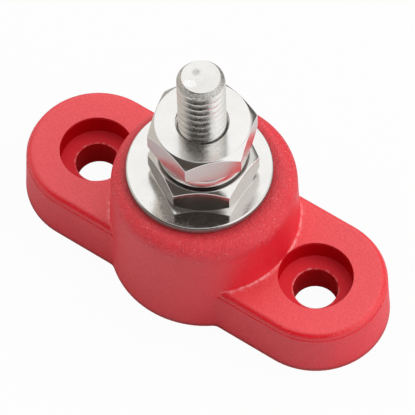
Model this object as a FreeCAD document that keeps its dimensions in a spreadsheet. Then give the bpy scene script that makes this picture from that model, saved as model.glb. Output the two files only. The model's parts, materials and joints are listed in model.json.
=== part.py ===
"""Insulated power stud: a moulded base with two screw ears, and a threaded steel stud
with a flat washer, a lower hex nut, a split spring washer and an upper hex nut.

The origin is on the stud's axis in the plane that the base rests on, +Z is up along the
stud, and the two ears lie along X. All sizes are in millimetres and degrees.
"""
import FreeCAD, Part
import math
import os

import Sketcher

VECTOR = FreeCAD.Vector
UP = VECTOR(0, 0, 1)
TOLERANCE = 1e-4

SIZES = [
    # Stud: a hex-head bolt with a quarter-inch shank
    ("stud_diameter", 6.3, "outside of the thread"),
    ("stud_length", 34.9, "from the head's bearing face to the tip"),
    ("tip_chamfer_width", 0.65, "how far the tip's chamfer reaches in"),
    ("tip_chamfer_height", 1.0, "how far the tip's chamfer reaches down"),
    ("head_flats", 11.1, "hex head, across flats"),
    ("head_height", 4.0, "hex head"),
    ("head_chamfer_inset", 0.35, "from the head's flats to the round of its face"),
    ("head_chamfer_angle", 30.0, "slope of the head's chamfer from its face"),
    # Base: boss
    ("boss_diameter", 26.1, "at the underside"),
    ("boss_height", 17.65, "underside to the washer's seat"),
    ("boss_rounding", 2.1, "round of the boss's upper edge"),
    ("boss_draft", 2.4, "draft of the boss's wall"),
    ("crease_radius", 0.4, "hollow round where the ears' tops meet the boss"),
    ("corner_radius", 1.5, "hollow round where the ears' sides meet the boss"),
    # Base: ears
    ("hole_spacing", 35.5, "between the two screw holes"),
    ("ear_radius", 10.0, "ear's end and half its width at the underside"),
    ("ear_thickness", 8.0, "underside to the ear's top"),
    ("ear_draft", 3.4, "draft of the ears' walls"),
    ("ear_edge_radius", 0.95, "round of the ear's top edge"),
    ("parting_land", 0.1, "upright strip between that round and the parting step"),
    ("parting_step", 0.12, "width of the mould's parting step"),
    ("screw_hole_diameter", 6.0, "screw clearance hole"),
    ("screw_hole_chamfer", 0.2, "broken upper edge of the screw hole"),
    ("counterbore_diameter", 10.1, "recess for the screw's head"),
    ("counterbore_depth", 3.3, "recess for the screw's head"),
    # Base: pocket for the stud's head
    ("head_recess", 2.2, "underside of the base to the head's outer face"),
    ("pocket_clearance", 0.1, "each side of the hex head"),
    ("shank_clearance", 0.05, "round the shank, in the base"),
    # Flat washer, which lies loose against the stud
    ("washer_diameter", 19.4, "outside"),
    ("washer_clearance", 0.85, "round the shank, when centred"),
    ("washer_thickness", 1.0, "plain sheet"),
    ("washer_chamfer", 0.2, "broken outer edges of the stamped sheet"),
    ("washer_side_gap", 0.06, "what is left of the clearance on the near side"),
    ("washer_shift_turn", 170.4, "which way the washer has slipped, from +X"),
    # Hex nuts: both the same, washer faces towards each other
    ("nut_flats", 12.7, "across flats"),
    ("nut_hex_height", 4.5, "hexagon without the washer face"),
    ("nut_chamfer_inset", 0.1, "from the nut's flats to the round of its face"),
    ("nut_chamfer_angle", 45.0, "slope of the nut's chamfers from its face"),
    ("nut_collar_inset", 0.6, "from the nut's flats to the washer face's edge"),
    ("nut_collar_height", 0.65, "washer face"),
    ("nut_clearance", 0.05, "round the shank, in each nut"),
    ("nut_countersink", 0.3, "edge of the threaded hole"),
    ("lower_nut_turn", 32.0, "turn of the nut's corners from +X"),
    ("upper_nut_turn", 46.8, "turn of the nut's corners from +X"),
    # Split spring washer between the nuts
    ("spring_width", 2.55, "width of the wire"),
    ("spring_thickness", 1.55, "thickness of the wire, clamped flat"),
    ("spring_clearance", 0.25, "round the shank"),
    ("spring_chamfer", 0.35, "broken outer edges of the wire"),
    ("spring_gap", 0.8, "width of the split"),
    ("spring_gap_slope", 25.0, "lean of the split from upright"),
    ("spring_gap_turn", 126.0, "where the split faces, turned from +X"),
]

# Heights in the part's frame, each worked out from what the piece seats on
HEAD_SEAT = "sizes.head_recess + sizes.head_height"
WASHER_SEAT = "sizes.boss_height"
LOWER_NUT_SEAT = f"{WASHER_SEAT} + sizes.washer_thickness"
SPRING_SEAT = f"{LOWER_NUT_SEAT} + sizes.nut_hex_height + sizes.nut_collar_height"
UPPER_NUT_SEAT = f"{SPRING_SEAT} + sizes.spring_thickness"
PARTING_HEIGHT = "(sizes.ear_thickness - sizes.ear_edge_radius - sizes.parting_land)"
RECESS_FLOOR = "sizes.ear_thickness - sizes.counterbore_depth"

# Radii and offsets that follow from the sizes
SHANK_RADIUS = "sizes.stud_diameter / 2"
BOSS_TAPER = "tan(sizes.boss_draft * 1 deg)"
BOSS_RADIUS = "sizes.boss_diameter / 2"
BOSS_TOP_RADIUS = f"{BOSS_RADIUS} - sizes.boss_height * {BOSS_TAPER}"
EAR_TAPER = "tan(sizes.ear_draft * 1 deg)"
EAR_CAP_RADIUS = f"sizes.ear_radius - {PARTING_HEIGHT} * {EAR_TAPER} - sizes.parting_step"
HOLE_OFFSET = "sizes.hole_spacing / 2"
WASHER_SHIFT = "(sizes.washer_clearance - sizes.washer_side_gap)"
SPRING_BORE_RADIUS = f"{SHANK_RADIUS} + sizes.spring_clearance"


def make_sheet(doc):
    """The driving dimensions, one named cell each."""
    sheet = doc.addObject("Spreadsheet::Sheet", "sizes")
    for row, (name, size, note) in enumerate(SIZES, start=1):
        sheet.set(f"A{row}", name)
        sheet.set(f"B{row}", str(size))
        sheet.set(f"C{row}", note)
        sheet.setAlias(f"B{row}", name)
    doc.recompute()


def value(item, formula):
    """What a formula in the sheet's names comes to."""
    return float(item.evalExpression(formula))


def new_body(doc, label, seat="0", turn="0"):
    """An empty body, raised to its seat and turned about Z."""
    body = doc.addObject("PartDesign::Body", label)
    body.Label = label
    body.Placement = FreeCAD.Placement(VECTOR(), UP, 1)
    body.setExpression("Placement.Base.z", seat)
    body.setExpression("Placement.Rotation.Angle", turn)
    return body


def origin_plane(body, role):
    """One of the body's own origin planes."""
    return [item for item in body.Origin.OriginFeatures if item.Role == role][0]


def new_sketch(body, name, role="XY_Plane", height="0"):
    """A sketch on an origin plane of its body, lifted along that plane's normal."""
    sketch = body.newObject("Sketcher::SketchObject", name)
    sketch.AttachmentSupport = [(origin_plane(body, role), "")]
    sketch.MapMode = "FlatFace"
    sketch.setExpression("AttachmentOffset.Base.z", height)
    return sketch


def bind(sketch, formula, kind, *places):
    """Add a dimension to a sketch and tie it to the sheet."""
    index = sketch.addConstraint(Sketcher.Constraint(kind, *places, value(sketch, formula)))
    sketch.setExpression(f"Constraints[{index}]", formula)


def draw_circle(sketch, radius, centre="0"):
    """A circle whose centre is on the sketch's X axis."""
    middle = VECTOR(value(sketch, centre), 0, 0)
    ring = sketch.addGeometry(Part.Circle(middle, UP, value(sketch, radius)))
    sketch.addConstraint(Sketcher.Constraint("PointOnObject", ring, 3, -1))
    bind(sketch, radius, "Radius", ring)
    bind(sketch, centre, "DistanceX", -1, 1, ring, 3)


def draw_slot(sketch, radius, offset):
    """A slot outline along X: two half circles joined by tangent lines."""
    reach = value(sketch, offset)
    half = value(sketch, radius)
    quarter = math.pi / 2
    right_circle = Part.Circle(VECTOR(reach, 0, 0), UP, half)
    left_circle = Part.Circle(VECTOR(-reach, 0, 0), UP, half)
    front_line = Part.LineSegment(VECTOR(-reach, -half, 0), VECTOR(reach, -half, 0))
    back_line = Part.LineSegment(VECTOR(reach, half, 0), VECTOR(-reach, half, 0))
    outline = [
        sketch.addGeometry(front_line),
        sketch.addGeometry(Part.ArcOfCircle(right_circle, -quarter, quarter)),
        sketch.addGeometry(back_line),
        sketch.addGeometry(Part.ArcOfCircle(left_circle, quarter, 3 * quarter)),
    ]
    for number, piece in enumerate(outline):
        following = outline[(number + 1) % len(outline)]
        sketch.addConstraint(Sketcher.Constraint("Tangent", piece, 2, following, 1))
    _, right, _, left = outline
    for arc in (right, left):
        sketch.addConstraint(Sketcher.Constraint("PointOnObject", arc, 3, -1))
    sketch.addConstraint(Sketcher.Constraint("Equal", right, left))
    bind(sketch, radius, "Radius", right)
    bind(sketch, offset, "DistanceX", -1, 1, right, 3)
    bind(sketch, offset, "DistanceX", left, 3, -1, 1)


def draw_polygon(sketch, corners):
    """A closed outline through corners, each given as two formulas."""
    places = [VECTOR(value(sketch, across), value(sketch, up), 0) for across, up in corners]
    sides = []
    for number, place in enumerate(places):
        following = places[(number + 1) % len(places)]
        sides.append(sketch.addGeometry(Part.LineSegment(place, following)))
    for number, side in enumerate(sides):
        following = sides[(number + 1) % len(sides)]
        sketch.addConstraint(Sketcher.Constraint("Coincident", side, 2, following, 1))
    for side, (across, up) in zip(sides, corners):
        bind(sketch, across, "DistanceX", -1, 1, side, 1)
        bind(sketch, up, "DistanceY", -1, 1, side, 1)


def draw_hexagon(sketch, flats):
    """A hexagon about the origin with one corner on +X, bound across its flats."""
    corner_radius = f"({flats}) / 2 / cos(30 deg)"
    radius = value(sketch, corner_radius)
    ring = sketch.addGeometry(Part.Circle(VECTOR(), UP, radius), True)
    corners = [FreeCAD.Rotation(UP, 60 * number).multVec(VECTOR(radius, 0, 0)) for number in range(6)]
    sides = []
    for number, corner in enumerate(corners):
        sides.append(sketch.addGeometry(Part.LineSegment(corner, corners[(number + 1) % 6])))
    for number, side in enumerate(sides):
        sketch.addConstraint(Sketcher.Constraint("Coincident", side, 2, sides[(number + 1) % 6], 1))
        sketch.addConstraint(Sketcher.Constraint("PointOnObject", side, 1, ring))
    for side in sides[1:]:
        sketch.addConstraint(Sketcher.Constraint("Equal", sides[0], side))
    sketch.addConstraint(Sketcher.Constraint("Coincident", ring, 3, -1, 1))
    sketch.addConstraint(Sketcher.Constraint("PointOnObject", sides[0], 1, -1))
    bind(sketch, corner_radius, "Radius", ring)


def pad(body, sketch, name, length, downward=False):
    """Pad a sketch by a bound length."""
    feature = body.newObject("PartDesign::Pad", name)
    feature.Profile = sketch
    feature.Reversed = downward
    feature.setExpression("Length", length)


def cut(body, sketch, name, length=None):
    """Cut a sketch along its normal, by a bound length or right through."""
    feature = body.newObject("PartDesign::Pocket", name)
    feature.Profile = sketch
    feature.Reversed = True
    if length:
        feature.setExpression("Length", length)
    else:
        feature.Type = "ThroughAll"


def revolve(body, sketch, name, kind="PartDesign::Revolution"):
    """Turn a sketch a full circle about its own vertical axis."""
    feature = body.newObject(kind, name)
    feature.Profile = sketch
    feature.ReferenceAxis = (sketch, ["V_Axis"])
    feature.Angle = 360


def work_edges(body, name, kind, size, wanted):
    """Round or chamfer those edges of the body's latest shape that are wanted."""
    body.Document.recompute()
    base = body.Tip
    edges = [f"Edge{n}" for n, edge in enumerate(base.Shape.Edges, start=1) if wanted(edge)]
    if not edges:
        raise RuntimeError(f"{name}: no edge found")
    feature = body.newObject(f"PartDesign::{kind}", name)
    feature.Base = (base, edges)
    feature.setExpression("Radius" if kind == "Fillet" else "Size", size)


def is_level(edge, height):
    """Whether an edge lies wholly in one level plane."""
    box = edge.BoundBox
    return abs(box.ZMin - height) < TOLERANCE and abs(box.ZMax - height) < TOLERANCE


def is_circle(edge, radius, height):
    """Whether an edge is a level circle of one radius."""
    if not isinstance(edge.Curve, Part.Circle):
        return False
    return is_level(edge, height) and abs(edge.Curve.Radius - radius) < TOLERANCE


def make_ears(body):
    """Both ears in one slot-shaped plate: drafted walls, a parting step and a rounded top."""
    plate = new_sketch(body, "plate_outline")
    draw_slot(plate, "sizes.ear_radius", HOLE_OFFSET)
    pad(body, plate, "ears", PARTING_HEIGHT)
    body.Document.recompute()
    ears = body.Tip
    walls = []
    for number, face in enumerate(ears.Shape.Faces, start=1):
        if face.BoundBox.ZLength > TOLERANCE:
            walls.append(f"Face{number}")
    draft = body.newObject("PartDesign::Draft", "ear_draft")
    draft.Base = (ears, walls)
    draft.NeutralPlane = (origin_plane(body, "XY_Plane"), [""])
    draft.setExpression("Angle", "sizes.ear_draft")

    cap = new_sketch(body, "cap_outline", height=PARTING_HEIGHT)
    draw_slot(cap, EAR_CAP_RADIUS, HOLE_OFFSET)
    pad(body, cap, "ear_caps", f"sizes.ear_thickness - {PARTING_HEIGHT}")
    top = value(body, "sizes.ear_thickness")
    work_edges(body, "ear_edges", "Fillet", "sizes.ear_edge_radius", lambda edge: is_level(edge, top))


def make_boss(body):
    """The drafted boss, rounded at its upper edge and blended into the ears."""
    profile = new_sketch(body, "boss_profile", "XZ_Plane")
    draw_polygon(profile, [
        ("0", "0"),
        (BOSS_RADIUS, "0"),
        (BOSS_TOP_RADIUS, "sizes.boss_height"),
        ("0", "sizes.boss_height"),
    ])
    revolve(body, profile, "boss")

    foot = value(body, BOSS_RADIUS)
    taper = value(body, BOSS_TAPER)
    parting = value(body, PARTING_HEIGHT)
    ear_top = value(body, "sizes.ear_thickness")
    boss_top = value(body, "sizes.boss_height")

    def meets_boss(edge, low, high):
        """Whether an edge lies on the boss's wall between two heights."""
        box = edge.BoundBox
        if box.ZMin < low - TOLERANCE or box.ZMax > high + TOLERANCE:
            return False
        if is_level(edge, box.ZMin) and not is_level(edge, ear_top):
            return False
        middle = edge.valueAt((edge.FirstParameter + edge.LastParameter) / 2)
        wall = foot - middle.z * taper
        return abs(math.hypot(middle.x, middle.y) - wall) < 10 * TOLERANCE

    work_edges(body, "ear_corners", "Fillet", "sizes.corner_radius",
               lambda edge: meets_boss(edge, 0, parting))
    work_edges(body, "ear_creases", "Fillet", "sizes.crease_radius",
               lambda edge: meets_boss(edge, parting, ear_top))
    work_edges(body, "boss_edge", "Fillet", "sizes.boss_rounding",
               lambda edge: is_level(edge, boss_top))


def make_base(doc):
    """The moulding: ears, boss, the pocket for the stud's head and the screw holes."""
    body = new_body(doc, "base")
    make_ears(body)
    make_boss(body)

    head = new_sketch(body, "pocket_outline")
    draw_hexagon(head, "sizes.head_flats + 2 * sizes.pocket_clearance")
    cut(body, head, "head_pocket", HEAD_SEAT)
    shank = new_sketch(body, "shank_hole_outline")
    draw_circle(shank, f"{SHANK_RADIUS} + sizes.shank_clearance")
    cut(body, shank, "shank_hole")

    holes = new_sketch(body, "screw_hole_outlines")
    recesses = new_sketch(body, "recess_outlines", height=RECESS_FLOOR)
    for side in ("", "-"):
        draw_circle(holes, "sizes.screw_hole_diameter / 2", side + HOLE_OFFSET)
        draw_circle(recesses, "sizes.counterbore_diameter / 2", side + HOLE_OFFSET)
    cut(body, holes, "screw_holes")
    cut(body, recesses, "counterbores")
    radius = value(body, "sizes.screw_hole_diameter / 2")
    floor = value(body, RECESS_FLOOR)
    work_edges(body, "screw_hole_edges", "Chamfer", "sizes.screw_hole_chamfer",
               lambda edge: is_circle(edge, radius, floor))
    return body


def chamfer_hexagon(body, name, flats, inset, angle, faces):
    """Turn the corners off a hexagon, at each face given as its height and outward sign."""
    inner = f"(({flats}) / 2 - {inset})"
    outer = f"({flats})"
    drop = f"({outer} - {inner}) * tan({angle} * 1 deg)"
    sketch = new_sketch(body, f"{name}_profile", "XZ_Plane")
    for height, inward in faces:
        draw_polygon(sketch, [
            (inner, height),
            (outer, height),
            (outer, f"{height} {inward} {drop}"),
        ])
    revolve(body, sketch, name, "PartDesign::Groove")


def make_nut(doc, label, seat, turn, collar_up):
    """A hex nut, chamfered on both faces, with a washer face on one of them."""
    body = new_body(doc, label, seat, turn)
    low = "0" if collar_up else "sizes.nut_collar_height"
    high = f"{low} + sizes.nut_hex_height"

    outline = new_sketch(body, f"{label}_outline", height=low)
    draw_hexagon(outline, "sizes.nut_flats")
    pad(body, outline, f"{label}_hexagon", "sizes.nut_hex_height")
    chamfer_hexagon(body, f"{label}_chamfers", "sizes.nut_flats", "sizes.nut_chamfer_inset",
                    "sizes.nut_chamfer_angle", [(low, "+"), (high, "-")])

    collar = new_sketch(body, f"{label}_collar_outline", height=high if collar_up else "0")
    draw_circle(collar, "sizes.nut_flats / 2 - sizes.nut_collar_inset")
    pad(body, collar, f"{label}_collar", "sizes.nut_collar_height")

    hole = new_sketch(body, f"{label}_hole_outline")
    hole_radius = f"{SHANK_RADIUS} + sizes.nut_clearance"
    draw_circle(hole, hole_radius)
    cut(body, hole, f"{label}_hole")
    radius = value(body, hole_radius)
    top = value(body, "sizes.nut_hex_height + sizes.nut_collar_height")
    work_edges(body, f"{label}_countersinks", "Chamfer", "sizes.nut_countersink",
               lambda edge: is_circle(edge, radius, 0) or is_circle(edge, radius, top))
    return body


def make_stud(doc):
    """The bolt: its hex head hangs below the bearing face and its shank stands above."""
    body = new_body(doc, "stud", HEAD_SEAT)
    outline = new_sketch(body, "head_outline")
    draw_hexagon(outline, "sizes.head_flats")
    pad(body, outline, "head", "sizes.head_height", downward=True)
    chamfer_hexagon(body, "head_chamfer", "sizes.head_flats", "sizes.head_chamfer_inset",
                    "sizes.head_chamfer_angle", [("-sizes.head_height", "+")])

    profile = new_sketch(body, "shank_profile", "XZ_Plane")
    draw_polygon(profile, [
        ("0", "0"),
        (SHANK_RADIUS, "0"),
        (SHANK_RADIUS, "sizes.stud_length - sizes.tip_chamfer_height"),
        (f"{SHANK_RADIUS} - sizes.tip_chamfer_width", "sizes.stud_length"),
        ("0", "sizes.stud_length"),
    ])
    revolve(body, profile, "shank")
    return body


def make_flat_washer(doc):
    """The large plain washer on the boss, slipped to one side against the stud."""
    body = new_body(doc, "flat_washer", WASHER_SEAT)
    body.setExpression("Placement.Base.x", f"{WASHER_SHIFT} * cos(sizes.washer_shift_turn * 1 deg)")
    body.setExpression("Placement.Base.y", f"{WASHER_SHIFT} * sin(sizes.washer_shift_turn * 1 deg)")
    outline = new_sketch(body, "washer_outline")
    draw_circle(outline, "sizes.washer_diameter / 2")
    draw_circle(outline, f"{SHANK_RADIUS} + sizes.washer_clearance")
    pad(body, outline, "washer_sheet", "sizes.washer_thickness")
    radius = value(body, "sizes.washer_diameter / 2")
    top = value(body, "sizes.washer_thickness")
    work_edges(body, "washer_edges", "Chamfer", "sizes.washer_chamfer",
               lambda edge: is_circle(edge, radius, 0) or is_circle(edge, radius, top))
    return body


def make_spring_washer(doc):
    """The split washer: a ring of square wire with broken edges, cut through at a slant."""
    body = new_body(doc, "spring_washer", SPRING_SEAT, "sizes.spring_gap_turn")
    outline = new_sketch(body, "spring_outline")
    outer_radius = f"{SPRING_BORE_RADIUS} + sizes.spring_width"
    draw_circle(outline, outer_radius)
    draw_circle(outline, SPRING_BORE_RADIUS)
    pad(body, outline, "spring_ring", "sizes.spring_thickness")
    radius = value(body, outer_radius)
    top = value(body, "sizes.spring_thickness")
    work_edges(body, "spring_edges", "Chamfer", "sizes.spring_chamfer",
               lambda edge: is_circle(edge, radius, 0) or is_circle(edge, radius, top))

    split = new_sketch(body, "split_outline", "YZ_Plane")
    half_gap = "sizes.spring_gap / 2"
    half_lean = "sizes.spring_thickness / 2 * tan(sizes.spring_gap_slope * 1 deg)"
    draw_polygon(split, [
        (f"-{half_gap} - {half_lean}", "0"),
        (f"{half_gap} - {half_lean}", "0"),
        (f"{half_gap} + {half_lean}", "sizes.spring_thickness"),
        (f"-{half_gap} + {half_lean}", "sizes.spring_thickness"),
    ])
    cut(body, split, "split")
    return body


def check(doc, bodies):
    """Stop if an object failed or a sub-part isn't one valid solid."""
    for item in doc.Objects:
        if "Invalid" in item.State or "Error" in item.State:
            raise RuntimeError(f"{item.Name} failed: {item.State}")
    for body in bodies:
        shape = body.Shape
        if shape.isNull() or not shape.isValid() or len(shape.Solids) != 1:
            raise RuntimeError(f"{body.Label} isn't one valid solid")


def main():
    doc = FreeCAD.newDocument("power_stud")
    make_sheet(doc)
    bodies = [
        make_base(doc),
        make_stud(doc),
        make_flat_washer(doc),
        make_nut(doc, "lower_nut", LOWER_NUT_SEAT, "sizes.lower_nut_turn", collar_up=True),
        make_spring_washer(doc),
        make_nut(doc, "upper_nut", UPPER_NUT_SEAT, "sizes.upper_nut_turn", collar_up=False),
    ]
    doc.recompute()
    check(doc, bodies)
    os.makedirs("parts", exist_ok=True)
    for body in bodies:
        body.Shape.exportStep(f"parts/{body.Label}.step")
        box = body.Shape.BoundBox
        print(f"{body.Label}: {body.Shape.Volume:.2f} mm3, z {box.ZMin:.2f} to {box.ZMax:.2f}")


main()
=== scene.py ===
"""Looks of the power stud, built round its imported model: the thread, the nuts and washers with
their true edges, the grained red moulding and the bright steel, in a plain white studio.

Lengths are in metres and angles in degrees, unless a name or a comment says otherwise. Colours
are linear red, green, blue and opacity.
"""
import json
import math

import bmesh
import bpy
from mathutils import Matrix, Vector

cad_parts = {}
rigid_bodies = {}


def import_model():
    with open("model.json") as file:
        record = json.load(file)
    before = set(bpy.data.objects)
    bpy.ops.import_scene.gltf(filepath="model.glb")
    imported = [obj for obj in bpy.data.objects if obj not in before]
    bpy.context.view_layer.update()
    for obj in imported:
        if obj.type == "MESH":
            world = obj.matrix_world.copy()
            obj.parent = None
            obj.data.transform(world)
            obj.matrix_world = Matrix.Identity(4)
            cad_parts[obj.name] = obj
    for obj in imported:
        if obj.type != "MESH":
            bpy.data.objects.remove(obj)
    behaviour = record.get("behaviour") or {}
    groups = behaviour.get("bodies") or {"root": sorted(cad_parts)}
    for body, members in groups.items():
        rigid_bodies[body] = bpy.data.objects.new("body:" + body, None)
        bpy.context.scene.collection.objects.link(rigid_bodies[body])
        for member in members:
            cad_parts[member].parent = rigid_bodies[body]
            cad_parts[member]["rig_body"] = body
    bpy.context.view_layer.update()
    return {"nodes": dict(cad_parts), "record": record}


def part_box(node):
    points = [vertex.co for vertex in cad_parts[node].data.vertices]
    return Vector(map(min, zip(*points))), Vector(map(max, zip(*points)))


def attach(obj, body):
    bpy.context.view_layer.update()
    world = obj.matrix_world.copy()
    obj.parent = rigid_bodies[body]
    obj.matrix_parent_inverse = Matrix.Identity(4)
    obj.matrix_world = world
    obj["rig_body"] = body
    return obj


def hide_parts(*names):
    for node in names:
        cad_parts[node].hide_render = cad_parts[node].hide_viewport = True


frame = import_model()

MM = 0.001
FULL_TURN = 2 * math.pi
WHITE = (1, 1, 1, 1)

# Meshes: points right round the axis, steps in a rounded edge, and the angles between faces
# from which an edge is shaded as sharp, the same on the threaded stud, and from which a nut's
# edge is rounded
COLUMNS = 120
ARC_STEPS = 5
BEVEL_SEGMENTS = 3
WELD_DISTANCE = 0.0005 * MM
SHARP_ANGLE = 32.0
THREAD_SHARP_ANGLE = 50.0
ROUNDED_ANGLE = 20.0

# Thread: the pitch is what the coupling gives for one turn. Its form is the 60 degree one with
# slightly worn crests, and the widths and the root's rounding are shares of the pitch
THREAD_PITCH = frame["record"]["behaviour"]["couplings"][0]["ratio"] * FULL_TURN
THREAD_DEPTH = 0.5413 * THREAD_PITCH
CREST_WIDTH = 0.16
FLANK_WIDTH = 0.30
ROOT_ROUNDING = 0.3
THREAD_CLEARANCE = 0.09 * MM
FLANK_ROWS = 4
ROOT_ROWS = 3
NUT_ROWS_PER_PITCH = 28

# Stud: the run-out is where the grooves go from nothing to their full depth, below the tip, and
# the places are across and along from its axis
SHANK_RADIUS = 3.15 * MM
RUNOUT_START = 0.7 * MM
RUNOUT_END = 1.3 * MM
HEAD_HEIGHT = 4.0 * MM
HEAD_CHAMFER_INSET = 0.35 * MM
HEAD_CHAMFER_ANGLE = 30.0
TIP_CHAMFER_WIDTH = 0.65 * MM
TIP_CHAMFER_HEIGHT = 1.0 * MM
TIP_DIMPLE_PLACE = (-0.90 * MM, 0.22 * MM)
TIP_DIMPLE_RADIUS = 0.50 * MM
TIP_DIMPLE_DEPTH = 0.08 * MM
TIP_FACET_PLACE = (-0.62 * MM, -1.65 * MM)
TIP_FACET_RADIUS = 0.75 * MM
TIP_RING_SHARES = (0.94, 0.88, 0.8, 0.72, 0.64, 0.56, 0.48, 0.4, 0.32, 0.24, 0.16, 0.08)

# Nuts
NUT_FLATS = 12.7 * MM
NUT_CHAMFER_INSET = 0.1 * MM
NUT_CHAMFER_ANGLE = 45.0
NUT_COLLAR_INSET = 0.6 * MM
NUT_COLLAR_HEIGHT = 0.65 * MM
NUT_COUNTERSINK = 0.3 * MM
NUT_EDGE_ROUND = 0.11 * MM
NUT_TURNS = {"lower_nut": 32.0, "upper_nut": 46.8}

# Washers
WASHER_HOLE_RADIUS = 4.0 * MM
WASHER_EDGE_ROUND = 0.22 * MM
SPRING_WIRE_WIDTH = 2.55 * MM
SPRING_LOWER_ROUND = 0.10 * MM
SPRING_UPPER_ROUND = 0.20 * MM
SPRING_BORE_ROUND = 0.15 * MM
SPRING_GAP = 0.8 * MM
SPRING_GAP_SLOPE = 25.0
SPRING_GAP_TURN = 126.0

# Base: the shoulder is where the boss's coarser grain sets in, the crease's reach is how far out
# from the middle the painted highlight lines along it start, and between the two values of steep,
# of a normal's upward part, a steep surface turns into a level one
EAR_TOP = 8.0 * MM
BOSS_SHOULDER = (14.6 * MM, 16.6 * MM)
CREASE_RADIUS = 12.9 * MM
CREASE_REACH = (8.4 * MM, 9.4 * MM)
HOLE_OFFSET = 17.75 * MM
HOLE_RADIUS = 3.0 * MM
RECESS_RADIUS = 5.05 * MM
STEEP = (0.3, 0.7)

# Finish of the moulding
GRAIN_DEPTH = 0.22 * MM
FINE_GRAIN_DEPTH = 0.08 * MM
SATIN_ROUGHNESS = (0.36, 0.48)
EDGE_ROUGHNESS = 0.24
RECESS_ROUGHNESS = 0.7

# Reds of the moulding, some of them painted light, and the pinks of its specks and of its painted
# highlight lines
RED = (0.84, 0.009, 0.028, 1)
CLOUDED_RED = (0.78, 0.006, 0.021, 1)
# Painted sheen: a paler pink for level faces, standing in for the light from above mirrored in them
LEVEL_SHEEN_RED = (0.83, 0.050, 0.062, 1)
# Painted shade: a deeper, more saturated red for the ears' rounded edges
EDGE_SHADE_RED = (0.80, 0.002, 0.014, 1)
# Painted shade: a darker red along the foot, as the contact shadow next to the floor
FOOT_SHADE_RED = (0.46, 0.001, 0.008, 1)
DULL_RED = (0.58, 0.006, 0.020, 1)
# Painted shadow: a darker red on the boss top round the flat washer
WASHER_SHADOW_RED = (0.42, 0.002, 0.010, 1)
# Painted shade in the recesses round the screw holes: a darker red on their floors and a much
# darker red on their walls
SHADED_RECESS_FLOOR_RED = (0.74, 0.014, 0.030, 1)
SHADED_RECESS_WALL_RED = (0.50, 0.0006, 0.005, 1)
# Painted reflection: the red tint of the gloss in the recesses
RECESS_REFLECTION_RED = (0.75, 0.05, 0.09, 1)
SPECK_PINK = (1.0, 0.36, 0.35, 1)
# Painted highlight: the pale pink of the lines round the hole rims and along the creases
HIGHLIGHT_PINK = (0.98, 0.45, 0.45, 1)

# Tints of the steel, some of them painted light: painted shade on the nuts' flats and collars, a
# painted highlight on the nuts' upper edges, and partly painted shade on the washer's sheared edge
PALE_STEEL = (0.92, 0.91, 0.89, 1)
WARM_STEEL = (0.87, 0.855, 0.83, 1)
# Painted shade: a darker, warmer steel for the nuts' flats
SHADED_FLAT_STEEL = (0.82, 0.775, 0.75, 1)
# Painted highlight: the near white of the nuts' edge line
HIGHLIGHT_STEEL = (0.95, 0.94, 0.93, 1)
# Painted shade: near black for the nuts' collars beside the spring washer
COLLAR_SHADE_STEEL = (0.22, 0.20, 0.19, 1)
POCKED_STEEL = (0.60, 0.58, 0.55, 1)
RUBBED_STEEL = (0.92, 0.90, 0.87, 1)
FACET_STEEL = (1.0, 1.0, 0.99, 1)
DIMPLE_STEEL = (0.66, 0.65, 0.63, 1)
# The washer's sheared edge: a dull band, its darker grey partly painted shade
SHEARED_SHADED_STEEL = (0.42, 0.41, 0.39, 1)

# Each steel's roughness, grains to a millimetre, depth of the grain, and share of pale specks
STEELS = {
    "stud_steel": (0.29, 3.0, 0.0015 * MM, 0.02),
    "washer_steel": (0.16, 2.5, 0.002 * MM, 0.2),
    "nut_steel": (0.16, 2.0, 0.0012 * MM, 0.03),
    "spring_steel": (0.20, 3.0, 0.002 * MM, 0.3),
}
CHAMFER_ROUGHNESS = 0.40
SHEARED_ROUGHNESS = 0.6
# Metallic of the nuts' painted highlight line, low so that it shows as a pale line
HIGHLIGHT_METALLIC = 0.15
POCK_DEPTH = 0.12 * MM

# Camera, as the photograph was taken
CAMERA_AZIMUTH = 35.93
CAMERA_ELEVATION = 58.91
CAMERA_ROLL = -1.81
CAMERA_DISTANCE = 516.8 * MM
CAMERA_LENS_MM = 337.8
AIM_HEIGHT = 12.6 * MM
AIM_RIGHT = 0.33 * MM
AIM_UP = -1.83 * MM

# Floor: its glow is the share of its white that the camera sees whatever the light on it, and
# the metal mirrors it only as far out as where it ends
FLOOR_COLOUR = (0.63, 0.63, 0.63, 1)
FLOOR_GLOW = 0.96
FLOOR_HALF_WIDTH = 3.0
MIRRORED_FLOOR_END = (0.045, 0.065)

# Light of the surroundings, and the share of their colours that it takes on the object
AMBIENT = 0.78
SHADE_SHARE = 0.6

# Lamps: azimuth from the lens's, elevation, distance, width and power in watts
LAMPS = {
    "top_lamp": (150, 68, 0.7, 0.45, 1.0),
    "right_lamp": (76, 34, 0.8, 0.8, 3.7),
    "left_lamp": (-105, 30, 0.8, 0.6, 1.5),
}

# What surrounds the object besides white: azimuth limits from the lens's, elevation limits,
# half the width of the soft border, and red, green and blue
MIRRORED_PATCHES = (
    (-175, -100, -60, 0, 4.0, (0.40, 0.38, 0.36)),
    (-150, -78, -40, 52, 6.0, (0.60, 0.56, 0.51)),
    (-150, -78, 52, 80, 5.0, (0.19, 0.175, 0.16)),
    (-82, 31, -6, 9, 3.0, (0.22, 0.21, 0.20)),
    (-82, 31, 8, 42, 4.0, (0.075, 0.062, 0.054)),
    (-82, 31, 40, 80, 4.0, (0.024, 0.019, 0.015)),
    (103, 172, -60, 3, 3.0, (0.11, 0.10, 0.092)),
    (95, 140, 3, 75, 8.0, (0.74, 0.73, 0.71)),
)


def direction(azimuth, elevation):
    """The unit vector from the object towards a place at that azimuth and elevation."""
    turn = math.radians(azimuth)
    rise = math.radians(elevation)
    level = math.cos(rise)
    return Vector((math.sin(turn) * level, -math.cos(turn) * level, math.sin(rise)))


# Mesh building

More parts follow.
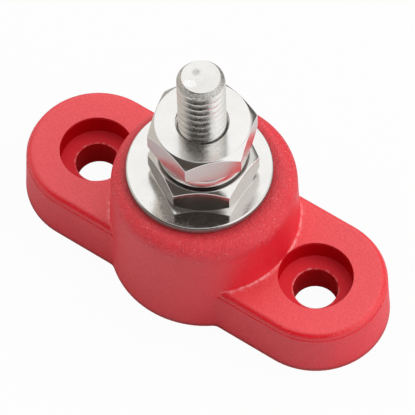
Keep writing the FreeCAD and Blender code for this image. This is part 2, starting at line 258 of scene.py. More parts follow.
def arc(centre_radius, centre_height, size, start, end):
    """Points of a rounded edge in the plane of a radius and a height."""
    points = []
    for step in range(ARC_STEPS + 1):
        angle = math.radians(start + (end - start) * step / ARC_STEPS)
        points.append((centre_radius + size * math.cos(angle),
                       centre_height + size * math.sin(angle)))
    return points


def rounded_section(inner, outer, low, high, outer_low, outer_high, inner_round):
    """The section of a flat ring with rounded edges, counterclockwise from its lower inner edge."""
    return (
        arc(inner + inner_round, low + inner_round, inner_round, 180, 270)
        + arc(outer - outer_low, low + outer_low, outer_low, 270, 360)
        + arc(outer - outer_high, high - outer_high, outer_high, 0, 90)
        + arc(inner + inner_round, high - inner_round, inner_round, 90, 180)
    )


def new_piece(name, points, faces, node, material):
    """A mesh piece that stands for a CAD node and rides on that node's body."""
    mesh = bpy.data.meshes.new(name)
    mesh.from_pydata(points, [], faces)
    mesh.validate()
    piece = bpy.data.objects.new(name, mesh)
    bpy.context.scene.collection.objects.link(piece)
    mesh.materials.append(material)
    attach(piece, frame["nodes"][node]["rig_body"])
    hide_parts(node)
    return piece


def shade_smooth(piece, sharp_angle=SHARP_ANGLE):
    """Smooth shading that keeps edges sharper than an angle, with large flat faces left flat."""
    piece.data.shade_smooth()
    piece.data.set_sharp_from_angle(angle=math.radians(sharp_angle))
    normals = piece.modifiers.new("flat_faces", "WEIGHTED_NORMAL")
    normals.keep_sharp = True
    normals.weight = 100


def weld(piece):
    """Join the points of a piece that lie on one another."""
    mesh = bmesh.new()
    mesh.from_mesh(piece.data)
    bmesh.ops.remove_doubles(mesh, verts=mesh.verts, dist=WELD_DISTANCE)
    mesh.to_mesh(piece.data)
    mesh.free()


def round_outer_edges(piece, beyond):
    """Round every sharp edge that lies beyond a radius from the axis."""
    mesh = bmesh.new()
    mesh.from_mesh(piece.data)
    sharp = []
    for edge in mesh.edges:
        outside = all(math.hypot(corner.co.x, corner.co.y) > beyond for corner in edge.verts)
        if outside and edge.is_manifold and edge.calc_face_angle() > math.radians(ROUNDED_ANGLE):
            sharp.append(edge)
    bmesh.ops.bevel(mesh, geom=sharp, offset=NUT_EDGE_ROUND, segments=BEVEL_SEGMENTS,
                    profile=0.5, affect="EDGES", clamp_overlap=True)
    mesh.to_mesh(piece.data)
    mesh.free()


def column_angles(turn=0.0, columns=COLUMNS):
    """The angles of the columns of points, in radians, the first one at a turn from +X."""
    return [math.radians(turn) + FULL_TURN * column / columns for column in range(columns)]


def ring_points(angles, radius_at, height_at):
    """One ring of points, with its radius and height worked out at each angle."""
    points = []
    for angle in angles:
        radius = radius_at(angle)
        points.append((radius * math.cos(angle), radius * math.sin(angle), height_at(angle)))
    return points


def flat_ring(angles, radius, height):
    """One ring of points on a level circle."""
    return ring_points(angles, lambda _: radius, lambda _: height)


def joined(rings):
    """The points of several rings in one list."""
    return [point for ring in rings for point in ring]


def turned_faces(ring_count, columns, closed):
    """The faces between neighbouring rings of points, right round the axis."""
    faces = []
    for ring in range(ring_count if closed else ring_count - 1):
        low = ring * columns
        high = (ring + 1) % ring_count * columns
        for column in range(columns):
            following = (column + 1) % columns
            faces.append((low + column, low + following, high + following, high + column))
    return faces


def renumbered(faces, first):
    """Faces whose points are counted on from a first one."""
    return [tuple(first + corner for corner in face) for face in faces]


def hexagon_radius(angle, flats, turn):
    """A hexagon's radius at an angle in radians, with a corner at its turn."""
    sixth = FULL_TURN / 6
    from_middle = (angle - math.radians(turn)) % sixth - sixth / 2
    return flats / 2 / math.cos(from_middle)


def thread_radius(angle, height, share=1.0):
    """The radius on a right-hand thread at an angle in radians and a height, where its grooves
    have a share of their full depth. The flanks are straight, and the roots are rounded."""
    phase = (height / THREAD_PITCH - angle / FULL_TURN) % 1.0
    from_crest = min(phase, 1 - phase)
    along = (from_crest - CREST_WIDTH / 2) / FLANK_WIDTH
    along = min(max(along, 0.0), 1.0 + ROOT_ROUNDING)
    past_flank = max(along - (1.0 - ROOT_ROUNDING), 0.0)
    fall = along - past_flank ** 2 / (4 * ROOT_ROUNDING)
    return SHANK_RADIUS - THREAD_DEPTH * share * fall


def thread_phases():
    """Where across one pitch, from the middle of a crest, the thread's form needs a row."""
    straight = FLANK_WIDTH * (1 - ROOT_ROUNDING)
    curved = FLANK_WIDTH * 2 * ROOT_ROUNDING
    upper = [CREST_WIDTH / 2 + straight * row / FLANK_ROWS for row in range(FLANK_ROWS + 1)]
    upper += [upper[-1] + curved * row / ROOT_ROWS for row in range(1, ROOT_ROWS + 1)]
    return [0.0] + upper + [1 - phase for phase in reversed(upper)]


def threaded_length(low, high, radius_at):
    """Points and faces of a thread between two heights, in rows that run along the helix. Rows
    beyond either height are drawn in to it, and a weld makes one ring of them."""
    angles = column_angles()
    phases = thread_phases()
    first_turn = math.floor(low / THREAD_PITCH) - 2
    turns = math.ceil(high / THREAD_PITCH) - math.floor(low / THREAD_PITCH) + 3
    rows = [first_turn + turn + phase for turn in range(turns) for phase in phases]
    points = []
    for row in rows:
        for angle in angles:
            height = min(max((row + angle / FULL_TURN) * THREAD_PITCH, low), high)
            radius = radius_at(angle, height)
            points.append((radius * math.cos(angle), radius * math.sin(angle), height))
    faces = []
    for row in range(len(rows) - 1):
        for column in range(COLUMNS - 1):
            near = row * COLUMNS + column
            faces.append((near, near + 1, near + COLUMNS + 1, near + COLUMNS))
    for row in range(len(rows) - len(phases) - 1):
        last = (row + 1) * COLUMNS - 1
        next_turn = (row + len(phases)) * COLUMNS
        faces.append((last, next_turn, next_turn + COLUMNS, last + COLUMNS))
    return points, faces


# Pieces

def head_rings(bottom, seat, flats):
    """Rings of points on the bolt's hex head, from its chamfered lower face to the shank."""
    angles = column_angles()
    face_radius = flats / 2 - HEAD_CHAMFER_INSET
    slope = math.tan(math.radians(HEAD_CHAMFER_ANGLE))

    def outer(angle):
        return hexagon_radius(angle, flats, 0.0)

    return [
        flat_ring(angles, face_radius, bottom),
        ring_points(angles, outer, lambda angle: bottom + (outer(angle) - face_radius) * slope),
        ring_points(angles, outer, lambda _: seat),
        flat_ring(angles, SHANK_RADIUS, seat),
    ]


def tip_relief(across, along):
    """The height of the stud's sawn end above its plane, below 0 in the dimple."""
    from_dimple = math.hypot(across - TIP_DIMPLE_PLACE[0], along - TIP_DIMPLE_PLACE[1])
    return -TIP_DIMPLE_DEPTH * math.exp(-(from_dimple / TIP_DIMPLE_RADIUS) ** 2)


def tip_rings(rim):
    """Rings of points across the stud's sawn end, from its rim inwards."""
    rings = [rim]
    for share in TIP_RING_SHARES:
        rings.append([(x * share, y * share, z + tip_relief(x * share, y * share))
                      for x, y, z in rim])
    return rings


def make_stud(material):
    """The hex-head bolt with its rolled thread and its chamfered tip."""
    low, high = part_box("stud")
    angles = column_angles()
    thread_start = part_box("base")[1].z - THREAD_PITCH

    def shank_radius(angle, height):
        from_tip = high.z - height
        chamfer = SHANK_RADIUS - TIP_CHAMFER_WIDTH * (1 - from_tip / TIP_CHAMFER_HEIGHT)
        share = min(max((from_tip - RUNOUT_START) / (RUNOUT_END - RUNOUT_START), 0.0), 1.0)
        return min(thread_radius(angle, height, share), chamfer)

    def shank_ring(height):
        return ring_points(angles, lambda angle: shank_radius(angle, height), lambda _: height)

    rings = head_rings(low.z, low.z + HEAD_HEIGHT, flats=2 * high.y)
    rings.append(shank_ring(thread_start))
    points = joined(rings)
    faces = turned_faces(len(rings), COLUMNS, closed=False)
    faces.append(tuple(reversed(range(COLUMNS))))

    thread_points, thread_faces = threaded_length(thread_start, high.z, shank_radius)
    faces += renumbered(thread_faces, len(points))
    points += thread_points

    end_rings = tip_rings(shank_ring(high.z))
    faces += renumbered(turned_faces(len(end_rings), COLUMNS, closed=False), len(points))
    points += joined(end_rings)
    faces.append(tuple(range(len(points) - COLUMNS, len(points))))
    piece = new_piece("threaded_stud", points, faces, "stud", material)
    weld(piece)
    shade_smooth(piece, THREAD_SHARP_ANGLE)


def make_nut(node, collar_up, material):
    """A hex nut with chamfered corners, a washer face and a threaded hole."""
    low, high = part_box(node)
    turn = NUT_TURNS[node]
    angles = column_angles(turn)
    hex_low = low.z if collar_up else low.z + NUT_COLLAR_HEIGHT
    hex_high = high.z - NUT_COLLAR_HEIGHT if collar_up else high.z
    face_radius = NUT_FLATS / 2 - NUT_CHAMFER_INSET
    collar_radius = NUT_FLATS / 2 - NUT_COLLAR_INSET
    slope = math.tan(math.radians(NUT_CHAMFER_ANGLE))
    mouth = SHANK_RADIUS + THREAD_CLEARANCE + NUT_COUNTERSINK

    def outer(angle):
        return hexagon_radius(angle, NUT_FLATS, turn)

    def bore(angle, height):
        from_face = min(height - low.z, high.z - height)
        return max(thread_radius(angle, height) + THREAD_CLEARANCE, mouth - from_face)

    def collar(face_height, hex_height):
        return [flat_ring(angles, collar_radius, height) for height in (face_height, hex_height)]

    rings = [flat_ring(angles, mouth, low.z)]
    if not collar_up:
        rings += collar(low.z, hex_low)
    rings += [
        flat_ring(angles, face_radius, hex_low),
        ring_points(angles, outer, lambda angle: hex_low + (outer(angle) - face_radius) * slope),
        ring_points(angles, outer, lambda angle: hex_high - (outer(angle) - face_radius) * slope),
        flat_ring(angles, face_radius, hex_high),
    ]
    if collar_up:
        rings += collar(hex_high, high.z)
    rings.append(flat_ring(angles, mouth, high.z))
    rows = round((high.z - low.z) / THREAD_PITCH * NUT_ROWS_PER_PITCH)
    for row in range(1, rows):
        height = high.z - (high.z - low.z) * row / rows
        rings.append(ring_points(angles, lambda angle: bore(angle, height), lambda _: height))

    faces = turned_faces(len(rings), COLUMNS, closed=True)
    piece = new_piece("threaded_" + node, joined(rings), faces, node, material)
    round_outer_edges(piece, beyond=mouth + NUT_EDGE_ROUND)
    shade_smooth(piece)


def make_flat_washer(material):
    """The plain washer, with the rounded edges of a stamping."""
    low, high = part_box("flat_washer")
    middle = (low + high) / 2
    section = rounded_section(WASHER_HOLE_RADIUS, (high.x - low.x) / 2, low.z, high.z,
                              WASHER_EDGE_ROUND, WASHER_EDGE_ROUND, WASHER_EDGE_ROUND / 2)
    angles = column_angles(columns=2 * COLUMNS)
    rings = [flat_ring(angles, radius, height) for radius, height in section]
    points = [(middle.x + x, middle.y + y, z) for x, y, z in joined(rings)]
    faces = turned_faces(len(section), len(angles), closed=True)
    piece = new_piece("stamped_washer", points, faces, "flat_washer", material)
    shade_smooth(piece)


def make_spring_washer(material):
    """The split ring of rounded wire, its ends cut at a slant."""
    low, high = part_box("spring_washer")
    outer_radius = high.x
    section = rounded_section(outer_radius - SPRING_WIRE_WIDTH, outer_radius, low.z, high.z,
                              SPRING_LOWER_ROUND, SPRING_UPPER_ROUND, SPRING_BORE_ROUND)
    middle_radius = outer_radius - SPRING_WIRE_WIDTH / 2
    middle_height = (low.z + high.z) / 2
    slant = math.tan(math.radians(SPRING_GAP_SLOPE)) / middle_radius
    gap = SPRING_GAP / middle_radius
    start = math.radians(SPRING_GAP_TURN) + gap / 2
    sweep = FULL_TURN - gap
    stations = 2 * COLUMNS
    points = []
    for station in range(stations + 1):
        for radius, height in section:
            angle = start + sweep * station / stations + (height - middle_height) * slant
            points.append((radius * math.cos(angle), radius * math.sin(angle), height))
    count = len(section)
    faces = []
    for station in range(stations):
        for corner in range(count):
            following = (corner + 1) % count
            near = station * count
            far = near + count
            faces.append((near + following, near + corner, far + corner, far + following))
    faces.append(tuple(range(count)))
    faces.append(tuple(reversed(range(stations * count, (stations + 1) * count))))
    piece = new_piece("split_washer", points, faces, "spring_washer", material)
    shade_smooth(piece)


# Materials

class Finish:
    """A material's node tree, with short ways to add what the finishes share."""

    def __init__(self, name, **sockets):
        self.material = bpy.data.materials.new(name)
        self.material.use_nodes = True
        self.tree = self.material.node_tree
        self.shader = self.tree.nodes["Principled BSDF"]
        for socket, value in sockets.items():
            self.shader.inputs[socket.replace("_", " ")].default_value = value
        self.place = self.add("ShaderNodeTexCoord").outputs["Object"]

    def add(self, kind, inputs=None, **settings):
        """A node with its settings made and its inputs set or linked."""
        node = self.tree.nodes.new(kind)
        for setting, value in settings.items():
            setattr(node, setting, value)
        for name, value in (inputs or {}).items():
            if isinstance(value, bpy.types.NodeSocket):
                self.tree.links.new(value, node.inputs[name])
            else:
                node.inputs[name].default_value = value
        return node

    def set(self, **sockets):
        """Link textures to the shader's sockets."""
        for socket, value in sockets.items():
            self.tree.links.new(value, self.shader.inputs[socket.replace("_", " ")])
        return self.material

    def parts(self, vector):
        """The three numbers of a vector."""
        outputs = self.add("ShaderNodeSeparateXYZ", {"Vector": vector}).outputs
        return outputs["X"], outputs["Y"], outputs["Z"]

    def upward(self):
        """How far the surface faces up, from -1 to 1."""
        return self.parts(self.add("ShaderNodeTexCoord").outputs["Normal"])[2]

    def distance(self, across, along, place=(0, 0)):
        """How far away a place is, seen from above."""
        spot = self.add("ShaderNodeCombineXYZ", {"X": across, "Y": along}).outputs[0]
        node = self.add("ShaderNodeVectorMath", {0: spot, 1: (*place, 0)}, operation="DISTANCE")
        return node.outputs["Value"]

    def scaled_place(self, per_mm, stretch=(1, 1, 1)):
        """Where the surface is, counted in grains, with their number to a millimetre."""
        scale = tuple(per_mm / MM * factor for factor in stretch)
        return self.add("ShaderNodeMapping", {"Vector": self.place, "Scale": scale}).outputs[0]

    def noise(self, per_mm, detail=3.0, roughness=0.55, stretch=(1, 1, 1)):
        """Noise with that many grains to a millimetre, stretched along the axes."""
        node = self.add("ShaderNodeTexNoise", {
            "Vector": self.scaled_place(per_mm, stretch),
            "Scale": 1.0, "Detail": detail, "Roughness": roughness,
        })
        return node.outputs["Fac"]

    def spots(self, per_mm, size):
        """Scattered round spots: 1 inside a spot, 0 between, sized as a share of their spacing."""
        cells = self.add("ShaderNodeTexVoronoi", {
            "Vector": self.scaled_place(per_mm), "Scale": 1.0,
        })
        return self.fall(cells.outputs["Distance"], size * 0.6, size)

    def combine(self, operation, first, second):
        """Two numbers taken together."""
        node = self.add("ShaderNodeMath", {0: first, 1: second}, operation=operation)
        return node.outputs[0]

    def product(self, first, *others):
        """Several numbers multiplied."""
        for other in others:
            first = self.combine("MULTIPLY", first, other)
        return first

    def size(self, value):
        """A number without its sign."""
        return self.combine("ABSOLUTE", value, 0.0)

    def remap(self, value, low, high, to_low, to_high):
        """A value carried from one range to another and kept inside it."""
        node = self.add("ShaderNodeMapRange", {
            "Value": value, "From Min": low, "From Max": high, "To Min": to_low, "To Max": to_high,
        })
        return node.outputs["Result"]

    def rise(self, value, low, high):
        """0 where a value is low, 1 where it is high, and in between a ramp."""
        return self.remap(value, low, high, 0.0, 1.0)

    def fall(self, value, low, high):
        """1 where a value is low, 0 where it is high, and in between a ramp."""
        return self.remap(value, low, high, 1.0, 0.0)

    def band(self, value, middle, half):
        """1 where a value is at the middle of a narrow band, and 0 outside the band."""
        off = self.size(self.combine("SUBTRACT", value, middle))
        return self.fall(off, half * 0.4, half)

    def mix(self, share, first, second):
        """One number going over into another by a share."""
        node = self.add("ShaderNodeMix", {"Factor": share, "A": first, "B": second})
        return node.outputs["Result"]

    def blend(self, share, first, second):
        """One colour going over into another by a share."""
        node = self.add("ShaderNodeMix", {"Factor": share, "A": first, "B": second},
                        data_type="RGBA")
        return node.outputs["Result"]

    def paint(self, share, colour):
        """Lay a colour over the tint so far."""
        self.tint = self.blend(share, self.tint, colour)

    def bump(self, height, distance, below=None, strength=1.0):
        """Fine relief of that depth, laid over what lies below it."""
        inputs = {"Height": height, "Distance": distance, "Strength": strength}
        if below:
            inputs["Normal"] = below
        return self.add("ShaderNodeBump", inputs).outputs["Normal"]


class Moulding(Finish):
    """The base's plastic, which looks different from place to place. Each share is about 1 on
    one kind of place and 0 elsewhere."""

    def __init__(self, name):
        super().__init__(name, Specular_IOR_Level=1.0)
        across, along, self.height = self.parts(self.place)
        self.upwards = self.upward()
        self.side = self.size(across)
        self.from_axis = self.distance(across, along)
        self.from_hole = self.distance(self.side, along, (HOLE_OFFSET, 0))
        washer_low, washer_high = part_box("flat_washer")
        washer_middle = (washer_low + washer_high) / 2
        washer_radius = (washer_high.x - washer_low.x) / 2
        from_washer = self.distance(across, along, washer_middle.xy)

        self.on_boss = self.rise(self.height, *BOSS_SHOULDER)
        self.level = self.rise(self.upwards, 0.85, 0.98)
        self.steep = self.fall(self.upwards, *STEEP)
        self.on_edge = self.product(
            self.rise(self.upwards, 0.12, 0.35),
            self.fall(self.upwards, 0.85, 0.96),
            self.remap(self.height, EAR_TOP - 0.02 * MM, EAR_TOP + 0.03 * MM, 0.95, 0.0))
        self.at_foot = self.remap(self.height, 0.5 * MM, 0.8 * MM, 0.8, 0.0)
        # Where the painted shadow round the flat washer lies, on the boss top next to its edge
        self.washer_shadow = self.product(
            self.on_boss,
            self.remap(from_washer, washer_radius, washer_radius + 1.1 * MM, 0.85, 0.0))
        # The recesses round the screw holes, which get painted shade, a duller gloss and less grain
        self.sunk = self.product(
            self.fall(self.from_hole, RECESS_RADIUS + 0.1 * MM, RECESS_RADIUS + 0.2 * MM),
            self.fall(self.height, EAR_TOP - 0.6 * MM, EAR_TOP - 0.1 * MM))
        self.grain = self.noise(per_mm=3.6, roughness=0.62)
        self.fine_grain = self.noise(per_mm=5.0)

    def colour(self):
        """Clouded red, layer upon layer, partly painted light: painted sheen, painted shade and
        painted highlight lines.
        """
        cloud = self.rise(self.noise(per_mm=0.12, detail=2.0), 0.3, 0.7)
        self.tint = self.blend(cloud, CLOUDED_RED, RED)
        # Painted sheen: level faces turn paler pink, less so on the boss top
        self.paint(self.product(self.level, self.mix(self.on_boss, 1.0, 0.3)), LEVEL_SHEEN_RED)
        # Painted shade: the ears' rounded edges, which mirror the dark surroundings, turn a deeper,
        # more saturated red
        self.paint(self.on_edge, EDGE_SHADE_RED)
        # Painted shade: a darker red band along the foot of the walls, as a contact shadow
        self.paint(self.at_foot, FOOT_SHADE_RED)
        dull = self.rise(self.grain, 0.42, 0.62)
        self.paint(self.product(dull, self.mix(self.on_boss, 0.3, 0.45)), DULL_RED)
        speck = self.rise(self.fine_grain, 0.60, 0.68)
        patchy = self.remap(self.noise(per_mm=0.45, detail=2.0), 0.38, 0.62, 0.25, 1.0)
        self.paint(self.product(speck, patchy, self.mix(self.on_boss, 0.16, 0.75)), SPECK_PINK)
        # Painted shadow: a darker red round the flat washer's edge
        self.paint(self.washer_shadow, WASHER_SHADOW_RED)
        # Painted shade: the recesses round the screw holes turn a darker red, darkest on their
        # steep walls
        self.paint(self.product(self.sunk, self.mix(self.steep, 0.8, 1.0)),
                   self.blend(self.steep, SHADED_RECESS_FLOOR_RED, SHADED_RECESS_WALL_RED))
        # Painted highlights: broken pale lines round the hole rims and along the creases
        self.paint(self.highlight_lines(), HIGHLIGHT_PINK)
        return self.tint

    def highlight_lines(self):
        """Fine broken pale lines, painted highlights: round the rims of the screw holes, and along
        the creases between the boss and the ears."""
        rim = self.product(
            self.rise(self.upwards, *STEEP),
            self.band(self.from_hole, HOLE_RADIUS + 0.1 * MM, 0.13 * MM))
        crease = self.product(
            self.band(self.height, EAR_TOP + 0.12 * MM, 0.15 * MM),
            self.band(self.from_axis, CREASE_RADIUS, 0.6 * MM),
            self.rise(self.side, *CREASE_REACH))
        broken = self.remap(self.noise(per_mm=1.6, detail=2.0), 0.40, 0.60, 0.1, 1.0)
        return self.product(self.combine("MAXIMUM", rim, crease), broken, 0.5)

    def relief(self):
        """Coarse and fine grain, deepest on the boss and slight in the recesses."""
        smooth = self.mix(self.sunk, 1.0, 0.15)
        coarse = self.product(self.grain, self.mix(self.on_boss, 0.35, 1.0), smooth)
        fine = self.product(self.fine_grain, self.mix(self.on_boss, 0.25, 1.0), smooth)
        return self.bump(fine, FINE_GRAIN_DEPTH, self.bump(coarse, GRAIN_DEPTH))

    def roughness(self):
        """Satin, smoother on the ears' rounded edge and dull in the recesses."""
        satin = self.remap(self.grain, 0.3, 0.7, *SATIN_ROUGHNESS)
        outside = self.mix(self.on_edge, satin, EDGE_ROUGHNESS)
        return self.mix(self.sunk, outside, RECESS_ROUGHNESS)

    def gloss(self):
        """The gloss's colour: plain, but a painted red reflection in the recesses, standing in for
        their red walls mirrored in one another.
        """
        share = self.product(self.sunk, self.mix(self.steep, 0.5, 1.0))
        return self.blend(share, WHITE, RECESS_REFLECTION_RED)


def red_plastic():
    """The base's grained red moulding."""
    moulding = Moulding("red_plastic")
    return moulding.set(Base_Color=moulding.colour(), Normal=moulding.relief(),
                        Roughness=moulding.roughness(), Specular_Tint=moulding.gloss())


def steel(name):
    """Bright stainless steel with fine grain, scratches and pale specks."""
    roughness, grain_per_mm, grain_depth, speck_share = STEELS[name]
    finish = Finish(name, Metallic=1.0)
    grain = finish.noise(grain_per_mm, detail=2.0, roughness=0.5)
    streaks = finish.noise(per_mm=2.0, stretch=(0.25, 3.0, 1.0))
    cloud = finish.noise(per_mm=0.3)
    speckled = finish.rise(finish.noise(per_mm=0.8), 0.50, 0.62)
    specks = finish.product(finish.spots(per_mm=2.2, size=0.20), speckled)
    finish.tint = finish.blend(finish.rise(cloud, 0.3, 0.7), PALE_STEEL, WARM_STEEL)
    relief = finish.bump(streaks, 0.003 * MM, strength=0.5)
    relief = finish.bump(grain, grain_depth, relief, strength=0.6)
    finish.relief = finish.bump(finish.product(specks, speck_share), 0.05 * MM, relief)
    finish.shine = finish.remap(finish.combine("ADD", grain, cloud), 0.7, 1.3,
                                roughness * 0.75, roughness * 1.3)
    return finish


def spring_steel():
    """The spring washer's steel, with nothing added."""
    finish = steel("spring_steel")
    return finish.set(Base_Color=finish.tint, Normal=finish.relief, Roughness=finish.shine)


def nut_steel():
    """The nuts' steel, with painted light: painted shade makes their flats a little darker and
    warmer than their faces, a pale painted highlight line runs where the upper chamfer turns into a
    flat, and painted shade darkens the collars beside the spring washer."""
    finish = steel("nut_steel")
    across, along, height = finish.parts(finish.place)
    upwards = finish.upward()
    shaded_flat = finish.remap(finish.size(upwards), 0.01, 0.02, 0.82, 0.0)
    edge_highlight = finish.product(finish.rise(upwards, 0.02, 0.08), finish.fall(upwards, 0.50, 0.66))
    ring_low, ring_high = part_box("spring_washer")
    collar_reach = (ring_high.z - ring_low.z) / 2 + NUT_COLLAR_HEIGHT + 0.03 * MM
    from_ring = finish.size(finish.combine("SUBTRACT", height, (ring_low.z + ring_high.z) / 2))
    # Where the painted shade lies: the nuts' collars beside the spring washer
    collar_shade = finish.product(
        finish.fall(from_ring, collar_reach, collar_reach + 0.05 * MM),
        finish.fall(finish.distance(across, along), NUT_FLATS / 2 - 0.35 * MM,
                    NUT_FLATS / 2 - 0.15 * MM))
    # Painted shade: the nuts' flats turn darker and warmer
    finish.paint(shaded_flat, SHADED_FLAT_STEEL)
    # Painted highlight: a pale line where the upper chamfer turns into a flat, also made less
    # metallic
    finish.paint(edge_highlight, HIGHLIGHT_STEEL)
    # Painted shade: the collars beside the spring washer turn near black
    finish.paint(collar_shade, COLLAR_SHADE_STEEL)
    # The painted highlight, kept off the painted collar shade
    highlight_share = finish.product(edge_highlight, finish.fall(collar_shade, 0.0, 1.0))
    return finish.set(Base_Color=finish.tint, Normal=finish.relief, Roughness=finish.shine,
                      Metallic=finish.remap(highlight_share, 0.0, 1.0, 1.0, HIGHLIGHT_METALLIC))


def stud_steel():
    """The stud's steel: its chamfer is pocked and dull, and its sawn end has one bright facet
    and a dark dimple."""
    finish = steel("stud_steel")
    across, along, height = finish.parts(finish.place)
    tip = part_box("stud")[1].z
    face_radius = SHANK_RADIUS - TIP_CHAMFER_WIDTH
    on_chamfer = finish.product(
        finish.rise(finish.distance(across, along), face_radius, face_radius + 0.08 * MM),
        finish.rise(height, tip - TIP_CHAMFER_HEIGHT, tip - 0.8 * MM))
    ragged = finish.noise(per_mm=1.1, detail=2.0)
    ragged = finish.remap(ragged, 0.3, 0.7, -0.4 * MM, 0.4 * MM)
    from_facet = finish.combine("ADD", finish.distance(across, along, TIP_FACET_PLACE), ragged)
    on_facet = finish.product(
        finish.fall(from_facet, TIP_FACET_RADIUS * 0.9, TIP_FACET_RADIUS),
        finish.rise(height, tip - 0.02 * MM, tip - 0.01 * MM))
    from_dimple = finish.distance(across, along, TIP_DIMPLE_PLACE)
    pocks = finish.noise(per_mm=5.0)
    rubbed = finish.rise(pocks, 0.42, 0.6)
    finish.paint(on_chamfer, finish.blend(rubbed, POCKED_STEEL, RUBBED_STEEL))
    finish.paint(on_facet, FACET_STEEL)
    finish.paint(finish.fall(from_dimple, 0.3 * MM, 0.65 * MM), DIMPLE_STEEL)
    relief = finish.bump(finish.product(pocks, on_chamfer), POCK_DEPTH, finish.relief)
    return finish.set(Base_Color=finish.tint, Normal=relief,
                      Roughness=finish.mix(on_chamfer, finish.shine, CHAMFER_ROUGHNESS))


def washer_steel():
    """The flat washer's steel: its stamped edge is a dull sheared band, painted a darker grey that
    is partly painted shade.
    """
    finish = steel("washer_steel")
    on_edge = finish.fall(finish.size(finish.upward()), 0.25, 0.55)
    # Partly painted shade: the washer's upright edge turns a darker grey
    finish.paint(on_edge, SHEARED_SHADED_STEEL)
    tears = finish.product(finish.noise(per_mm=5.0, stretch=(1, 1, 0.3)), on_edge)
    relief = finish.bump(tears, 0.05 * MM, finish.relief)
    return finish.set(Base_Color=finish.tint, Normal=relief,
                      Roughness=finish.mix(on_edge, finish.shine, SHEARED_ROUGHNESS))


# Studio

class Surroundings(Finish):
    """The world's node tree, with the same short ways to add nodes that a material has."""

    def __init__(self, name):
        self.material = bpy.data.worlds.new(name)
        self.material.use_nodes = True
        bpy.context.scene.world = self.material
        self.tree = self.material.node_tree
        self.shader = self.tree.nodes["Background"]
        self.place = self.add("ShaderNodeTexCoord").outputs["Generated"]

    def window(self, value, low, high, soft):
        """1 between two limits in degrees and 0 outside them, with soft borders."""
        low, high, soft = (math.radians(limit) for limit in (low, high, soft))
        return self.product(self.rise(value, low - soft, low + soft),
                            self.fall(value, high - soft, high + soft))


def make_world():
    """A studio that is white to the eye. What the metal mirrors is white too but for the
    patches, most of them dark and on the lens's side, and the light on the object takes a
    share of their colours."""
    world = Surroundings("studio")
    swung = world.add("ShaderNodeVectorRotate", {
        "Vector": world.place, "Angle": -math.radians(CAMERA_AZIMUTH),
    }, rotation_type="Z_AXIS").outputs[0]
    across, away, upwards = world.parts(swung)
    azimuth = world.combine("ARCTAN2", across, world.combine("MULTIPLY", away, -1.0))
    elevation = world.combine("ARCSINE", upwards, 0.0)
    world.tint = WHITE
    for azimuth_low, azimuth_high, low, high, soft, colour in MIRRORED_PATCHES:
        inside = world.product(world.window(azimuth, azimuth_low, azimuth_high, soft),
                               world.window(elevation, low, high, soft))
        world.paint(inside, (*colour, 1))
    path = world.add("ShaderNodeLightPath").outputs
    mirrored = world.combine("MAXIMUM", path["Is Glossy Ray"], path["Is Transmission Ray"])
    seen = world.combine("MAXIMUM", path["Is Camera Ray"], mirrored)
    shaded = world.blend(SHADE_SHARE, WHITE, world.tint)
    lit = world.blend(mirrored, shaded, world.tint)
    world.set(Color=world.blend(path["Is Camera Ray"], lit, WHITE),
              Strength=world.mix(seen, AMBIENT, 1.0))


def make_floor():
    """A wide pale floor, white to the eye and softly shaded by the object. Near the object the
    metal mirrors it as it is lit, and further out the metal mirrors the studio instead."""
    finish = Finish("floor_paper", Base_Color=FLOOR_COLOUR, Roughness=1.0, Specular_IOR_Level=0.0)
    path = finish.add("ShaderNodeLightPath").outputs
    glow = finish.add("ShaderNodeEmission", {"Color": WHITE, "Strength": 1.0}).outputs[0]
    share = finish.product(path["Is Camera Ray"], FLOOR_GLOW)
    paper = finish.add("ShaderNodeMixShader", {0: share, 1: finish.shader.outputs[0], 2: glow})
    from_middle = finish.add("ShaderNodeVectorMath", {0: finish.place}, operation="LENGTH")
    far = finish.rise(from_middle.outputs["Value"], *MIRRORED_FLOOR_END)
    unseen = finish.product(path["Is Glossy Ray"], far)
    clear = finish.add("ShaderNodeBsdfTransparent").outputs[0]
    mixed = finish.add("ShaderNodeMixShader", {0: unseen, 1: paper.outputs[0], 2: clear})
    output = finish.tree.nodes["Material Output"]
    finish.tree.links.new(mixed.outputs[0], output.inputs["Surface"])
    half = FLOOR_HALF_WIDTH
    corners = [(-half, -half, 0), (half, -half, 0), (half, half, 0), (-half, half, 0)]
    mesh = bpy.data.meshes.new("floor")
    mesh.from_pydata(corners, [], [(0, 1, 2, 3)])
    mesh.materials.append(finish.material)
    floor = bpy.data.objects.new("floor", mesh)
    bpy.context.scene.collection.objects.link(floor)


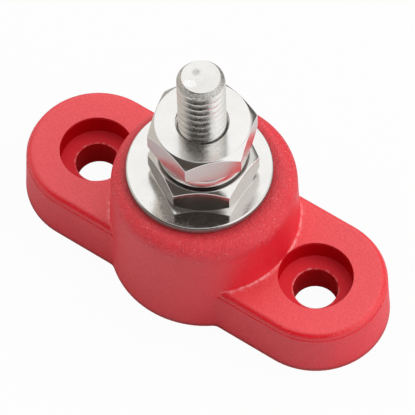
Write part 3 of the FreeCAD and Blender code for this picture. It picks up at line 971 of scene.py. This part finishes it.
def add_lamp(name, azimuth, elevation, distance, width, power):
    """A soft square lamp that shines on the object and isn't mirrored in it."""
    light = bpy.data.lights.new(name, "AREA")
    light.size = width
    light.energy = power
    lamp = bpy.data.objects.new(name, light)
    bpy.context.scene.collection.objects.link(lamp)
    towards = direction(azimuth, elevation)
    lamp.location = towards * distance + Vector((0, 0, AIM_HEIGHT))
    lamp.rotation_mode = "QUATERNION"
    lamp.rotation_quaternion = towards.to_track_quat("Z", "Y")
    lamp.visible_glossy = False


def make_studio():
    """Floor, surroundings, and soft lamps from behind above, the right and the left."""
    make_floor()
    make_world()
    for name, (azimuth, elevation, distance, width, power) in LAMPS.items():
        add_lamp(name, CAMERA_AZIMUTH + azimuth, elevation, distance, width, power)


def make_camera():
    """The camera at the photograph's angle, with the same slight lean."""
    back = direction(CAMERA_AZIMUTH, CAMERA_ELEVATION)
    turn = math.radians(CAMERA_AZIMUTH)
    right = Vector((math.cos(turn), math.sin(turn), 0))
    up = back.cross(right)
    lean = math.radians(CAMERA_ROLL)
    leaning_right = right * math.cos(lean) + up * math.sin(lean)
    leaning_up = up * math.cos(lean) - right * math.sin(lean)
    aim = Vector((0, 0, AIM_HEIGHT)) + right * AIM_RIGHT + up * AIM_UP
    data = bpy.data.cameras.new("camera")
    data.lens = CAMERA_LENS_MM
    camera = bpy.data.objects.new("camera", data)
    bpy.context.scene.collection.objects.link(camera)
    place = Matrix((leaning_right, leaning_up, back)).transposed().to_4x4()
    place.translation = aim + back * CAMERA_DISTANCE
    camera.matrix_world = place
    bpy.context.scene.camera = camera


def make_object():
    """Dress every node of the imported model."""
    nut_finish = nut_steel()
    make_stud(stud_steel())
    make_flat_washer(washer_steel())
    make_nut("lower_nut", collar_up=True, material=nut_finish)
    make_spring_washer(spring_steel())
    make_nut("upper_nut", collar_up=False, material=nut_finish)
    base = frame["nodes"]["base"]
    base.data.materials.clear()
    base.data.materials.append(red_plastic())


make_object()
make_studio()
make_camera()
bpy.context.scene.view_settings.view_transform = "Standard"
